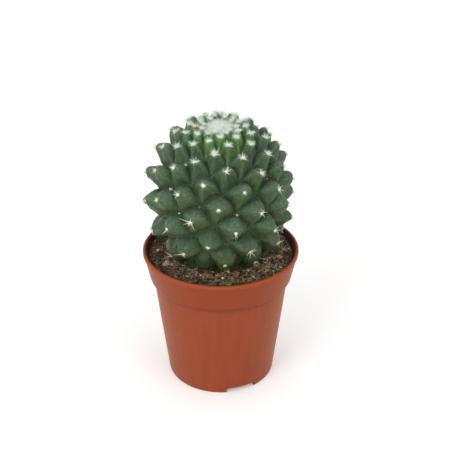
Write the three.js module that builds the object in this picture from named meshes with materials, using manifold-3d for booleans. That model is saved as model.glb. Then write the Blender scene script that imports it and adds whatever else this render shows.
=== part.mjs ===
// A globe mammillaria in a 5.5 cm nursery pot, in millimetres, +Z up.
// The origin is on the pot's axis, in the plane that the pot stands on, and -Y is the front.
//
// The plant's tubercles follow one spiral: each is a golden angle further round than the last and a
// step further down the meridian, and the step follows from the skin that a tubercle of its age
// covers. Its eighth and thirteenth successors are its neighbours, so the four-sided cells between
// them tile the whole stem, and each cell is drawn out to a keeled, blunt tip.

import * as THREE from 'three';
import { mergeVertices } from 'three/addons/utils/BufferGeometryUtils.js';
import Module from 'manifold-3d';

const wasm = await Module();
wasm.setup();

// Driving dimensions

const clearance = 0.3; // between pieces that touch

const pot = {
  height: 50,
  rimRadius: 27.5,
  lipWidth: 1.1,
  lipHeight: 1.4,
  lipRound: 0.35,
  lipStep: 0.3, // height over which the band steps out to the lip
  bandTopRadius: 27.1,
  bandFootRadius: 25.2,
  bandFootLevel: 39.3,
  shoulderRadius: 24,
  shoulderLevel: 38.5,
  footRadius: 19.6,
  wall: 0.9,
  footRingWidth: 1.3,
  footHeight: 2.3,
  sides: 48,
};

const footNotch = { count: 3, angle: 32, frontAngle: -68, height: 2, corner: 0.7, reach: 4 };
const drainHole = { count: 4, radius: 2.2, ringRadius: 12, firstAngle: 45, sides: 14 };

const soil = {
  edgeLevel: 47.7,
  centreLevel: 49.2,
  lumpHeight: 0.25,
  lumpWave: 0.55, // radians a millimetre
  holeRadius: 14.3,
  holeSides: 32,
  wallGap: 0.4,
  rings: 9,
  sides: 36,
  highest: 50,
};

const grit = {
  count: 46,
  smallest: 0.5,
  largest: 1.05,
  nearest: 19,
  furthest: 24.2,
  sunk: 0.4, // share of its half height that a crumb's middle lies below the soil
  angleJitter: 0.5,
  seed: 11,
};

// The larger crumbs and pebbles that stand out in the soil: place in plan, half sizes and turn.
const pebbles = [
  { x: -18.9, y: -10.6, size: [1.9, 1.3, 1.1], turn: 35 },
  { x: 20.6, y: -6.4, size: [1.5, 1.1, 0.9], turn: -20 },
  { x: -2.8, y: -22.6, size: [1.6, 0.8, 0.6], turn: 10 },
  { x: 12.6, y: -18.4, size: [1.1, 0.8, 0.7], turn: 70 },
  { x: -12.3, y: 18.1, size: [1.7, 1.2, 0.9], turn: 120 },
  { x: 16.9, y: 13.9, size: [1.3, 1, 0.8], turn: 50 },
];

const plant = {
  girthRadius: 25.45, // across the areoles, at the widest level
  girthLevel: 68.9,
  crownRise: 29,
  crownFullness: 2.33, // 2 makes the upper half an ellipse, more makes it squarer
  footDrop: 23.5,
  skirtRadius: 17.8, // across the lowest areoles, straight down into the soil
  lean: 5.5, // degrees towards the front
  sideLean: 0.2,
  leanLevel: 48,
  offset: [-0.65, 0.55],
  stemRadius: 13.5, // between the lowest tubercles
  stemFoot: 48.9, // level where the tubercles end and the root begins
  footLift: 1.6, // that the lowest tubercles' undersides rise from there to their tips
  rootRadius: 11,
  rootLevel: 41,
  rootTip: 36,
  crownDip: 92.2,
};

const spiral = {
  count: 105,
  goldenAngle: 137.50776,
  firstAngle: 155.55,
  firstReach: 6.83, // of the youngest tubercle from the growing point, along the meridian
  grownCell: 108, // area of a grown tubercle's foot
  growthReach: 23.5,
};

const tubercle = {
  height: 6,
  youthReach: 6, // the height grows with the reach over this length
  steepestDroop: -24, // degrees that the lowest ones hang down
  lift: 4,
  tipBelowAreole: 0.3,
  tipBeyondAreole: 0.35,
  waist: { share: 0.64, rise: 0.56, youngRaise: 0.8, raise: 0.25 },
  shoulder: { share: 0.4, rise: 0.9, youngRaise: 0.8, raise: 0.2 },
  facetBulge: 1.12,
};

// The woolly button at each tip.
const areole = { radius: 0.75, youngRadius: 0.45, height: 0.65, firstCorner: -102 };

const spine = {
  rounds: [100, -35, -125], // places round the areole, in degrees
  radius: 0.17,
  sides: 3,
  length: 2.1,
  youngLength: 1.3,
  lengthSpread: 0.25,
  spread: 62, // degrees from the tubercle's axis
  youngSpread: 34,
  soilClearance: 0.4,
  roundJitter: 0.3,
  rootRise: 0.2,
  seed: 5,
};

const wool = {
  radius: 5.4,
  offset: [0.7, 0.6],
  bottom: 93.5,
  rimLevel: 95,
  top: 96.6,
  neck: 0.7, // share of the radius at the bottom
  lump: 0.22,
  lumpWave: 2,
  gap: 0.36,
  rings: 7,
  sides: 26,
};

const weld = 1e-3;
const rad = THREE.MathUtils.degToRad;

// Solids

function seededRandom(seed) {
  let state = seed >>> 0;
  return () => {
    state = (Math.imul(state, 1664525) + 1013904223) >>> 0;
    return state / 4294967296;
  };
}

function toSolid(geometry) {
  const bare = new THREE.BufferGeometry();
  bare.setAttribute('position', geometry.getAttribute('position').clone());
  if (geometry.index) bare.setIndex(geometry.index.clone());
  const merged = mergeVertices(bare, weld);
  const corners = merged.index.array;
  const kept = [];
  for (let i = 0; i < corners.length; i += 3) {
    const [a, b, c] = [corners[i], corners[i + 1], corners[i + 2]];
    if (a !== b && b !== c && c !== a) kept.push(a, b, c);
  }
  return new wasm.Manifold(new wasm.Mesh({
    numProp: 3,
    vertProperties: merged.getAttribute('position').array,
    triVerts: new Uint32Array(kept),
  }));
}

function toMesh(name, solid, look) {
  const { vertProperties, triVerts } = solid.getMesh();
  const geometry = new THREE.BufferGeometry();
  geometry.setAttribute('position', new THREE.BufferAttribute(vertProperties, 3));
  geometry.setIndex(new THREE.BufferAttribute(triVerts, 1));
  geometry.computeVertexNormals();
  const mesh = new THREE.Mesh(geometry, new THREE.MeshStandardMaterial(look));
  mesh.name = name;
  return mesh;
}

function union(solids) {
  let level = solids;
  while (level.length > 1) {
    const next = [];
    for (let i = 0; i < level.length; i += 2) {
      next.push(i + 1 < level.length ? level[i].add(level[i + 1]) : level[i]);
    }
    level = next;
  }
  return level[0];
}

// Drops the tiny sealed pockets and scraps that fusing leaves.
function wholeOf(solid) {
  return solid.decompose().reduce((best, body) => (body.volume() > best.volume() ? body : best));
}

function lathe(points, sides) {
  const outline = points.map(([r, z]) => new THREE.Vector2(r, z));
  return new THREE.LatheGeometry(outline, sides).rotateX(Math.PI / 2);
}

function polar(radius, angle, z) {
  return new THREE.Vector3(radius * Math.cos(angle), radius * Math.sin(angle), z);
}

// Pot: the inner wall follows the outer one at the wall's thickness.

function innerRadius(z) {
  const { wall } = pot;
  const outer = [
    [pot.footHeight, pot.footRadius],
    [pot.shoulderLevel, pot.shoulderRadius],
    [pot.bandFootLevel, pot.bandFootRadius],
    [pot.height - pot.lipHeight, pot.bandTopRadius],
  ];
  for (let i = 1; i < outer.length; i += 1) {
    const [z0, r0] = outer[i - 1];
    const [z1, r1] = outer[i];
    if (z <= z1) return r0 + ((r1 - r0) * (z - z0)) / (z1 - z0) - wall;
  }
  return pot.rimRadius - pot.lipWidth;
}

function potWall() {
  const floor = pot.footHeight + pot.wall;
  const lipFoot = pot.height - pot.lipHeight;
  return lathe([
    [0, pot.footHeight],
    [pot.footRadius - pot.footRingWidth, pot.footHeight],
    [pot.footRadius - pot.footRingWidth, 0],
    [pot.footRadius, 0],
    [pot.shoulderRadius, pot.shoulderLevel],
    [pot.bandFootRadius, pot.bandFootLevel],
    [pot.bandTopRadius, lipFoot - pot.lipStep],
    [pot.rimRadius, lipFoot],
    [pot.rimRadius, pot.height - pot.lipRound],
    [pot.rimRadius - pot.lipRound, pot.height],
    [pot.rimRadius - pot.lipWidth + pot.lipRound, pot.height],
    [pot.rimRadius - pot.lipWidth, pot.height - pot.lipRound],
    [innerRadius(lipFoot), lipFoot],
    [innerRadius(pot.bandFootLevel), pot.bandFootLevel],
    [innerRadius(pot.shoulderLevel), pot.shoulderLevel],
    [innerRadius(floor), floor],
    [0, floor],
  ], pot.sides);
}

function notchCutter(index) {
  const { angle, height, corner, reach } = footNotch;
  const below = -height;
  const half = pot.footRadius * Math.sin(rad(angle / 2));
  const outline = new THREE.Shape();
  outline.moveTo(-half, below);
  outline.lineTo(half, below);
  outline.lineTo(half, height - corner);
  outline.lineTo(half - corner, height);
  outline.lineTo(corner - half, height);
  outline.lineTo(-half, height - corner);
  outline.closePath();
  return new THREE.ExtrudeGeometry(outline, { depth: reach, bevelEnabled: false })
    .rotateX(Math.PI / 2)
    .rotateZ(Math.PI / 2)
    .translate(pot.footRadius - reach / 2, 0, 0)
    .rotateZ(rad(footNotch.frontAngle + (360 / footNotch.count) * index));
}

function drainCutter(index) {
  const { count, radius, ringRadius, firstAngle, sides } = drainHole;
  const centre = polar(ringRadius, rad(firstAngle + (360 / count) * index), pot.footHeight);
  return new THREE.CylinderGeometry(radius, radius, 2 * pot.footHeight, sides)
    .rotateX(Math.PI / 2)
    .translate(centre.x, centre.y, centre.z);
}

function makePot() {
  let body = toSolid(potWall());
  for (let i = 0; i < footNotch.count; i += 1) body = body.subtract(toSolid(notchCutter(i)));
  for (let i = 0; i < drainHole.count; i += 1) body = body.subtract(toSolid(drainCutter(i)));
  return body;
}

// Plant: the meridian holds, for each place along it, how many tubercles lie above.

function meridian() {
  const { girthRadius, girthLevel, crownRise, crownFullness, footDrop, skirtRadius } = plant;
  const step = 0.002;
  const lastTurn = 2.7;
  const smallestCell = 0.5;
  const rows = [];
  let reach = 0;
  let passed = 0;
  let cell = 0;
  for (let turn = step; turn < lastTurn; turn += step) {
    const upper = turn < Math.PI / 2;
    const power = upper ? 2 / crownFullness : 1;
    const rise = upper ? crownRise : -footDrop;
    const narrowest = upper ? 0 : skirtRadius;
    const r = Math.max(girthRadius * Math.sin(turn) ** power, narrowest);
    const z = girthLevel + rise * Math.abs(Math.cos(turn)) ** power;
    const last = rows.at(-1);
    const pitch = last ? Math.atan2(r - last.r, last.z - z) : Math.PI / 2;
    if (last) {
      const length = Math.hypot(r - last.r, z - last.z);
      reach += length;
      cell = spiral.grownCell * (1 - youthOf(reach));
      passed += (Math.PI * (r + last.r) * length) / Math.max(cell, smallestCell);
    }
    rows.push({ r, z, pitch, reach, cell, passed });
  }
  const first = rows.find((row) => row.reach >= spiral.firstReach).passed;
  for (const row of rows) row.passed -= first;
  return rows;
}

const meridianRows = meridian();

function onMeridian(index) {
  let low = 0;
  let high = meridianRows.length - 1;
  while (high - low > 1) {
    const middle = (low + high) >> 1;
    if (meridianRows[middle].passed < index) low = middle;
    else high = middle;
  }
  const [a, b] = [meridianRows[low], meridianRows[high]];
  const share = (index - a.passed) / (b.passed - a.passed);
  const mix = (key) => a[key] + (b[key] - a[key]) * share;
  const lowest = rad(tubercle.steepestDroop);
  return {
    r: mix('r'),
    z: mix('z'),
    reach: mix('reach'),
    cell: mix('cell'),
    pitch: Math.max(mix('pitch') + rad(tubercle.lift), lowest),
  };
}

function angleOf(index) {
  return rad(spiral.firstAngle - spiral.goldenAngle * index);
}

const eighthTurn = rad(1080 - 8 * spiral.goldenAngle);
const thirteenthTurn = rad(1800 - 13 * spiral.goldenAngle);

function youthOf(reach) {
  return Math.exp(-((reach / spiral.growthReach) ** 2));
}

function grownHeight(reach) {
  return (tubercle.height * reach) / (reach + tubercle.youthReach);
}

// Keeps a point of the plant's skin above a level, whichever way the plant leans.
function liftedTo(level, point) {
  point.z = Math.max(point.z, level - point.y * Math.tan(rad(plant.lean)));
  return point;
}

function valleyPoint(index, angle) {
  const place = onMeridian(index);
  const height = grownHeight(place.reach);
  const r = place.r - height * Math.cos(place.pitch);
  const z = place.z - height * Math.sin(place.pitch);
  const narrowest = place.z < plant.girthLevel ? plant.stemRadius : 0;
  return liftedTo(plant.stemFoot, polar(Math.max(r, narrowest), angle, z));
}

function tubercleFrame(index) {
  const { r, z, pitch, reach, cell } = onMeridian(index);
  const angle = angleOf(index);
  const out = new THREE.Vector3(
    Math.cos(pitch) * Math.cos(angle),
    Math.cos(pitch) * Math.sin(angle),
    Math.sin(pitch),
  );
  const side = new THREE.Vector3(-Math.sin(angle), Math.cos(angle), 0);
  const up = new THREE.Vector3().crossVectors(out, side);
  const size = Math.sqrt(cell / spiral.grownCell);
  return { index, angle, reach, size, out, side, up, seat: polar(r, angle, z) };
}

// Corners and edge middles of a cell, in steps of the eighth and the thirteenth neighbour.
const cellRing = [
  [0.5, 0.5], [0, 0.5], [-0.5, 0.5], [-0.5, 0],
  [-0.5, -0.5], [0, -0.5], [0.5, -0.5], [0.5, 0],
];

function tubercleTriangles(frame, corners) {
  const { index, angle, size, seat, out, side, up } = frame;
  const tip = seat.clone()
    .addScaledVector(up, -tubercle.tipBelowAreole * size)
    .addScaledVector(out, tubercle.tipBeyondAreole * size);
  const draw = tip.clone().sub(valleyPoint(index, angle));
  const ring = ({ share, rise, youngRaise, raise }, bulge) => cellRing.map(([a, b]) => {
    const upward = THREE.MathUtils.lerp(youngRaise, raise, size);
    const width = a * b === 0 ? share * bulge : share;
    const [da, db] = [a * width, b * width];
    const point = valleyPoint(index + 8 * da + 13 * db, angle + eighthTurn * da + thirteenthTurn * db);
    point.addScaledVector(draw, rise).addScaledVector(up, upward);
    return liftedTo(plant.stemFoot + plant.footLift * rise, point);
  });
  const { waist, shoulder, facetBulge } = tubercle;
  const radius = THREE.MathUtils.lerp(areole.youngRadius, areole.radius, size);
  const button = cellRing.map((unused, i) => {
    const round = rad(areole.firstCorner + (360 / cellRing.length) * i);
    return seat.clone()
      .addScaledVector(side, radius * Math.cos(round))
      .addScaledVector(up, radius * Math.sin(round));
  });
  const rings = [
    ring({ share: 1, rise: 0, youngRaise: 0, raise: 0 }, 1),
    ring(waist, facetBulge),
    ring(shoulder, facetBulge),
    button,
  ];
  for (let level = 1; level < rings.length; level += 1) {
    const [lower, upper] = [rings[level - 1], rings[level]];
    for (let i = 0; i < 8; i += 1) {
      const j = (i + 1) % 8;
      corners.push(lower[i], lower[j], upper[j], lower[i], upper[j], upper[i]);
    }
  }
  const top = seat.clone().addScaledVector(out, areole.height);
  for (let i = 0; i < 8; i += 1) corners.push(button[i], button[(i + 1) % 8], top);
}

// Free edges of the tiled skin: those round the crown and those round the foot.
function openEdges(corners) {
  const key = (p) => p.toArray().map((v) => v.toFixed(2)).join(' ');
  const edges = new Map();
  for (let i = 0; i < corners.length; i += 3) {
    for (let k = 0; k < 3; k += 1) {
      const [a, b] = [corners[i + k], corners[i + ((k + 1) % 3)]];
      const back = `${key(b)}|${key(a)}`;
      if (edges.has(back)) edges.delete(back);
      else edges.set(`${key(a)}|${key(b)}`, [a, b]);
    }
  }
  return [...edges.values()];
}

function stemSkin() {
  const corners = [];
  for (let i = 0; i < spiral.count; i += 1) tubercleTriangles(tubercleFrame(i), corners);
  const dip = new THREE.Vector3(0, 0, plant.crownDip);
  const root = new THREE.Vector3(0, 0, plant.rootTip);
  for (const [a, b] of openEdges(corners)) {
    if (a.z > plant.girthLevel) {
      corners.push(b, a, dip);
    } else {
      const [c, d] = [a, b].map((p) => polar(plant.rootRadius, Math.atan2(p.y, p.x), plant.rootLevel));
      corners.push(b, a, c, b, c, d, d, c, root);
    }
  }
  return new THREE.BufferGeometry().setFromPoints(corners);
}

function spinesOf({ seat, out, side, up, reach }, random) {
  const youth = youthOf(reach);
  const spread = rad(THREE.MathUtils.lerp(spine.spread, spine.youngSpread, youth));
  const made = [];
  for (const place of spine.rounds) {
    const round = rad(place) + (random() - 0.5) * spine.roundJitter;
    const grown = THREE.MathUtils.lerp(spine.length, spine.youngLength, youth);
    const length = grown * (1 + (random() - 0.5) * 2 * spine.lengthSpread);
    const way = out.clone().multiplyScalar(Math.cos(spread))
      .addScaledVector(side, Math.sin(spread) * Math.cos(round))
      .addScaledVector(up, Math.sin(spread) * Math.sin(round));
    const start = seat.clone().addScaledVector(out, spine.rootRise);
    const point = start.clone().addScaledVector(way, length);
    if (point.z < soil.highest + spine.soilClearance) continue;
    const turn = new THREE.Quaternion().setFromUnitVectors(new THREE.Vector3(0, 1, 0), way);
    made.push(new THREE.ConeGeometry(spine.radius, length, spine.sides)
      .translate(0, length / 2, 0)
      .applyQuaternion(turn)
      .translate(start.x, start.y, start.z));
  }
  return made;
}

const leanMatrix = new THREE.Matrix4()
  .makeTranslation(plant.offset[0], plant.offset[1], plant.leanLevel)
  .multiply(new THREE.Matrix4().makeRotationFromEuler(
    new THREE.Euler(rad(plant.lean), rad(plant.sideLean), 0, 'YXZ'),
  ))
  .multiply(new THREE.Matrix4().makeTranslation(0, 0, -plant.leanLevel));

function leaning(geometry) {
  return toSolid(geometry.applyMatrix4(leanMatrix));
}

function makeCactus() {
  const random = seededRandom(spine.seed);
  const pieces = [leaning(stemSkin())];
  for (let i = 0; i < spiral.count; i += 1) {
    pieces.push(...spinesOf(tubercleFrame(i), random).map(leaning));
  }
  return wholeOf(union(pieces).subtract(leaning(crownWool(wool.gap))));
}

// Crown wool: a low lumpy cushion in the dip between the youngest tubercles.

function crownWool(grow) {
  const radius = wool.radius + grow;
  const profile = [[0, wool.bottom - grow]];
  profile.push([radius * wool.neck, wool.bottom - grow]);
  for (let i = 0; i < wool.rings; i += 1) {
    const turn = (Math.PI / 2) * (i / wool.rings);
    const z = wool.rimLevel + (wool.top + grow - wool.rimLevel) * Math.sin(turn);
    profile.push([radius * Math.cos(turn), z]);
  }
  profile.push([0, wool.top + grow]);
  const geometry = lathe(profile, wool.sides);
  const places = geometry.getAttribute('position');
  for (let i = 0; i < places.count; i += 1) {
    const [x, y, z] = [places.getX(i), places.getY(i), places.getZ(i)];
    const lump = Math.sin(wool.lumpWave * x) * Math.cos(wool.lumpWave * y);
    if (z > wool.rimLevel) places.setZ(i, z + wool.lump * lump);
  }
  return geometry.translate(wool.offset[0], wool.offset[1], 0);
}

// Soil: its surface rises to the plant in low lumps, with grit and pebbles sunk into it.

function soilLevel(x, y) {
  const out = Math.min(Math.hypot(x, y) / innerRadius(pot.height), 1);
  const mound = soil.edgeLevel + (soil.centreLevel - soil.edgeLevel) * (1 - out * out);
  const [u, v] = [soil.lumpWave * x, soil.lumpWave * y];
  const lumps = Math.sin(u + 1) * Math.cos(v) + Math.sin(2 * (u - v)) / 2;
  return mound + soil.lumpHeight * lumps * (1 - out ** 8);
}

function soilFill() {
  const floor = pot.footHeight + pot.wall + clearance;
  const profile = [[0, floor]];
  for (const z of [floor, pot.shoulderLevel, pot.bandFootLevel]) {
    profile.push([innerRadius(z) - soil.wallGap, z]);
  }
  const brim = innerRadius(soil.edgeLevel) - soil.wallGap;
  for (let i = 0; i < soil.rings; i += 1) profile.push([brim * (1 - i / soil.rings), soil.edgeLevel]);
  profile.push([0, soil.edgeLevel]);
  const geometry = lathe(profile, soil.sides);
  const places = geometry.getAttribute('position');
  for (let i = 0; i < places.count; i += 1) {
    if (places.getZ(i) >= soil.edgeLevel) places.setZ(i, soilLevel(places.getX(i), places.getY(i)));
  }
  return geometry;
}

function crumb(x, y, size, turn, detail) {
  const shape = detail ? new THREE.DodecahedronGeometry(1, 0) : new THREE.OctahedronGeometry(1, 0);
  return shape
    .rotateX(turn)
    .scale(...size)
    .rotateZ(turn)
    .translate(x, y, soilLevel(x, y) - grit.sunk * size[2]);
}

function makeSoil() {
  const random = seededRandom(grit.seed);
  const pieces = [toSolid(soilFill())];
  for (const { x, y, size, turn } of pebbles) pieces.push(toSolid(crumb(x, y, size, rad(turn), true)));
  for (let i = 0; i < grit.count; i += 1) {
    const angle = rad(i * spiral.goldenAngle) + random() * grit.angleJitter;
    const out = THREE.MathUtils.lerp(grit.nearest, grit.furthest, random());
    const size = [0, 1, 2].map(() => THREE.MathUtils.lerp(grit.smallest, grit.largest, random()));
    const turn = random() * Math.PI;
    pieces.push(toSolid(crumb(out * Math.cos(angle), out * Math.sin(angle), size, turn, false)));
  }
  const hole = lathe([
    [0, plant.rootTip - 2 * clearance],
    [plant.rootRadius + 2 * clearance, plant.rootLevel - 2 * clearance],
    [soil.holeRadius, plant.rootLevel],
    [soil.holeRadius, soil.highest + 1],
    [0, soil.highest + 1],
  ], soil.holeSides).translate(plant.offset[0], plant.offset[1], 0);
  return wholeOf(union(pieces).subtract(toSolid(hole)));
}

// Finishes and the finished plant

const group = new THREE.Group();
group.add(
  toMesh('pot', makePot(), { color: 0x9d5136, roughness: 0.5, metalness: 0 }),
  toMesh('soil', makeSoil(), { color: 0x41372e, roughness: 0.95, metalness: 0 }),
  toMesh('cactus', makeCactus(), { color: 0x465c40, roughness: 0.55, metalness: 0 }),
  toMesh('crown_wool', leaning(crownWool(0)), { color: 0xd5dccf, roughness: 1, metalness: 0 }),
);

export default group;
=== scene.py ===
import random
from bisect import bisect_left
from math import atan2, cos, exp, hypot, pi, radians, sin, sqrt, tan

import bmesh
import bpy
from mathutils import Euler, Matrix, Vector, noise


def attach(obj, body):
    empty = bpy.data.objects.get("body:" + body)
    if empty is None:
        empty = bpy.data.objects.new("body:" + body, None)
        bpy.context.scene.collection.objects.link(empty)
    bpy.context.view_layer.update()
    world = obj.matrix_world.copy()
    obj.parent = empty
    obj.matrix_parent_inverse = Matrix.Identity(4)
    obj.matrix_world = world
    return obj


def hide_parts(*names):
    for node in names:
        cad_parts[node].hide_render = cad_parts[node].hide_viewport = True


# A potted mammillaria. Shapes are worked out in millimetres, like the CAD source, and scaled to
# metres as each mesh is finished. A colour of three parts is sRGB, from 0 to 255, and one of four
# is linear, from 0 to 1.

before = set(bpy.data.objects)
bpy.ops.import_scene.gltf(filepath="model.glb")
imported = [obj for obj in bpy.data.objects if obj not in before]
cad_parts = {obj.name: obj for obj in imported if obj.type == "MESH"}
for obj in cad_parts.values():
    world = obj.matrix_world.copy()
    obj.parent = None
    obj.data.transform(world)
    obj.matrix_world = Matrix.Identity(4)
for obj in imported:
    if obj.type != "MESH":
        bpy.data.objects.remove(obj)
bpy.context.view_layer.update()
mm = 0.001
perSquareMetre = 1 / mm ** 2


def metres(values):
    return [value * mm for value in values]


def lerp(low, high, share):
    return low + (high - low) * share


# 0 to 1 as the value goes from start to end.
def shareOf(value, start, end):
    return min(max((value - start) / (end - start), 0), 1)


def polar(radius, angle, z):
    return Vector((radius * cos(angle), radius * sin(angle), z))


# The linear colour of an sRGB one.
def tone(red, green, blue):
    linear = [c / 12.92 if c <= 0.04045 else ((c + 0.055) / 1.055) ** 2.4 for c in
              (red / 255, green / 255, blue / 255)]
    return (*linear, 1.0)


# Node trees. A Term is an output socket that can be added, multiplied and so on.

def operator(operation, swapped=False):
    def apply(term, other):
        pair = (other, term) if swapped else (term, other)
        return term.graph.math(operation, *pair)
    return apply


class Term:
    __add__ = __radd__ = operator("ADD")
    __sub__ = operator("SUBTRACT")
    __rsub__ = operator("SUBTRACT", swapped=True)
    __mul__ = __rmul__ = operator("MULTIPLY")
    __truediv__ = operator("DIVIDE")
    __rtruediv__ = operator("DIVIDE", swapped=True)
    __pow__ = operator("POWER")

    def __init__(self, graph, socket):
        self.graph = graph
        self.socket = socket

    def split(self):
        node = self.graph.add("ShaderNodeSeparateXYZ", {0: self})
        return [Term(self.graph, socket) for socket in node.outputs]

    # 0 to 1 as the term goes from start to end, eased at both ends.
    def step(self, start, end):
        inputs = {0: self, 1: start, 2: end}
        return self.graph.out("ShaderNodeMapRange", inputs, interpolation_type="SMOOTHSTEP")

    # The term is the share of high in the outcome: a number, or with tint a colour.
    def between(self, low, high):
        return low + (high - low) * self

    def tint(self, low, high):
        return self.graph.out("ShaderNodeMix", {0: self, 6: low, 7: high}, 2, data_type="RGBA")


class Graph:
    def __init__(self, tree):
        self.tree = tree

    def put(self, socket, value):
        if isinstance(value, Term):
            self.tree.links.new(value.socket, socket)
        elif value is not None:
            isTone = socket.type == "RGBA" and len(value) == 3
            socket.default_value = tone(*value) if isTone else value

    def add(self, kind, inputs=None, **settings):
        node = self.tree.nodes.new(kind)
        for name, value in settings.items():
            setattr(node, name, value)
        for name, value in (inputs or {}).items():
            self.put(node.inputs[name], value)
        return node

    def out(self, kind, inputs=None, output=0, **settings):
        return Term(self, self.add(kind, inputs, **settings).outputs[output])

    def math(self, operation, *values):
        terms = [value for value in values if isinstance(value, Term)]
        if any(term.socket.type == "VECTOR" for term in terms):
            return self.vector(operation, *values)
        return self.out("ShaderNodeMath", dict(enumerate(values)), operation=operation)

    def vector(self, operation, *values, output=0):
        full = [(value,) * 3 if isinstance(value, (int, float)) else value for value in values]
        inputs = dict(enumerate(full))
        return self.out("ShaderNodeVectorMath", inputs, output, operation=operation)

    def join(self, x, y, z):
        return self.out("ShaderNodeCombineXYZ", {0: x, 1: y, 2: z})

    def curve(self, value, points):
        node = self.add("ShaderNodeFloatCurve", {1: value})
        line = node.mapping.curves[0]
        for x, y in points[1:-1]:
            line.points.new(x, y)
        line.points[0].location = points[0]
        line.points[-1].location = points[-1]
        node.mapping.update()
        return Term(self, node.outputs[0])

    def noise(self, vector, scale, detail=2.0, output=0):
        inputs = {"Vector": vector, "Scale": scale, "Detail": detail}
        return self.out("ShaderNodeTexNoise", inputs, output)

    # Geometry trees only; an arrow is a vector.
    def named(self, name, kind="FLOAT"):
        return self.out("GeometryNodeInputNamedAttribute", {"Name": name}, data_type=kind)

    def arrow(self, name):
        return self.named(name, "FLOAT_VECTOR")

    def store(self, geometry, name, value, kind="FLOAT"):
        inputs = {"Geometry": geometry, "Name": name, "Value": value}
        return self.out("GeometryNodeStoreNamedAttribute", inputs, data_type=kind)

    def position(self):
        return self.out("GeometryNodeInputPosition")

    def random(self, low, high, seed):
        inputs = {2: low, 3: high, "Seed": seed}
        return self.out("FunctionNodeRandomValue", inputs, 1, data_type="FLOAT")

    def randomArrow(self, low, high, seed):
        inputs = {0: low, 1: high, "Seed": seed}
        return self.out("FunctionNodeRandomValue", inputs, data_type="FLOAT_VECTOR")

    def towards(self, vector):
        return self.out("FunctionNodeAlignRotationToVector", {"Vector": vector}, axis="Z")

    def place(self, points, shape, rotation=None, scale=None):
        inputs = {"Points": points, "Instance": shape, "Rotation": rotation, "Scale": scale}
        placed = self.out("GeometryNodeInstanceOnPoints", inputs)
        return self.out("GeometryNodeRealizeInstances", {0: placed})

    def scatter(self, mesh, density, seed):
        inputs = {"Mesh": mesh, "Density": density, "Seed": seed}
        node = self.add("GeometryNodeDistributePointsOnFaces", inputs)
        return [Term(self, node.outputs[key]) for key in ("Points", "Normal")]

    def move(self, geometry, key, value, selection=None):
        inputs = {"Geometry": geometry, key: value, "Selection": selection}
        return self.out("GeometryNodeSetPosition", inputs)

    def weld(self, geometry, distance):
        inputs = {"Geometry": geometry, "Distance": distance}
        return self.out("GeometryNodeMergeByDistance", inputs)

    def finish(self, geometry, material, smooth=True):
        inputs = {"Geometry": geometry, "Shade Smooth": smooth}
        shaded = self.out("GeometryNodeSetShadeSmooth", inputs)
        done = self.out("GeometryNodeSetMaterial", {"Geometry": shaded, "Material": material})
        self.add("NodeGroupOutput", {0: done})


# A node group with the named sockets, and the terms of its inputs.
def nodeGroup(name, kind, inputs, outputs):
    tree = bpy.data.node_groups.new(name, kind)
    for way, sockets in (("INPUT", inputs), ("OUTPUT", outputs)):
        for key, socket in sockets.items():
            tree.interface.new_socket(key, in_out=way, socket_type="NodeSocket" + socket)
    graph = Graph(tree)
    entry = graph.add("NodeGroupInput")
    return graph, {socket.name: Term(graph, socket) for socket in entry.outputs if socket.name}


# A geometry tree with one input for each value.
def geometryRule(name, values, objects=()):
    kinds = {float: "Float", int: "Int"}
    inputs = {"Geometry": "Geometry"}
    inputs.update((key, kinds[type(value)]) for key, value in values.items())
    inputs.update(dict.fromkeys(objects, "Object"), material="Material")
    return nodeGroup(name, "GeometryNodeTree", inputs, {"Geometry": "Geometry"})


def newPiece(name, data):
    piece = bpy.data.objects.new(name, data)
    bpy.context.collection.objects.link(piece)
    return piece


# Runs the rule on a mesh and keeps the outcome as a plain mesh.
def grow(name, mesh, graph, values, material):
    piece = newPiece(name, mesh)
    modifier = piece.modifiers.new("Rule", "NODES")
    modifier.node_group = graph.tree
    values = {**values, "material": material}
    for item in graph.tree.interface.items_tree:
        if item.in_out == "INPUT" and item.name in values:
            modifier[item.identifier] = values[item.name]
    applyModifiers(piece)
    return piece


def applyModifiers(piece):
    depsgraph = bpy.context.evaluated_depsgraph_get()
    mesh = bpy.data.meshes.new_from_object(
        piece.evaluated_get(depsgraph), preserve_all_data_layers=True, depsgraph=depsgraph)
    piece.modifiers.clear()
    old = piece.data
    piece.data = mesh
    mesh.name = piece.name
    bpy.data.meshes.remove(old)


# Points and faces as a mesh; an attribute has a number or a vector for each point.
def meshOf(name, points, faces=(), attributes=None):
    mesh = bpy.data.meshes.new(name)
    mesh.from_pydata([tuple(point) for point in points], [], faces)
    for key, values in (attributes or {}).items():
        plain = isinstance(values[0], (int, float))
        layer = mesh.attributes.new(key, "FLOAT" if plain else "FLOAT_VECTOR", "POINT")
        flat = values if plain else [number for value in values for number in value]
        layer.data.foreach_set("value" if plain else "vector", flat)
    return mesh


# Loose points, one for each row, with the row's values under the keys as attributes.
def pointsOf(name, rows, *keys):
    points = [row.get("at", (0, 0, 0)) for row in rows]
    return meshOf(name, points, (), {key: [row[key] for row in rows] for key in keys})


def faceOutward(mesh):
    work = bmesh.new()
    work.from_mesh(mesh)
    bmesh.ops.recalc_face_normals(work, faces=work.faces)
    work.to_mesh(mesh)
    work.free()
    mesh.shade_smooth()


# A closed piece from points in millimetres.
def solidPiece(name, points, faces, material=None, attributes=None):
    mesh = meshOf(name, [point * mm for point in points], faces, attributes)
    faceOutward(mesh)
    if material:
        mesh.materials.append(material)
    return newPiece(name, mesh)


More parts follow.
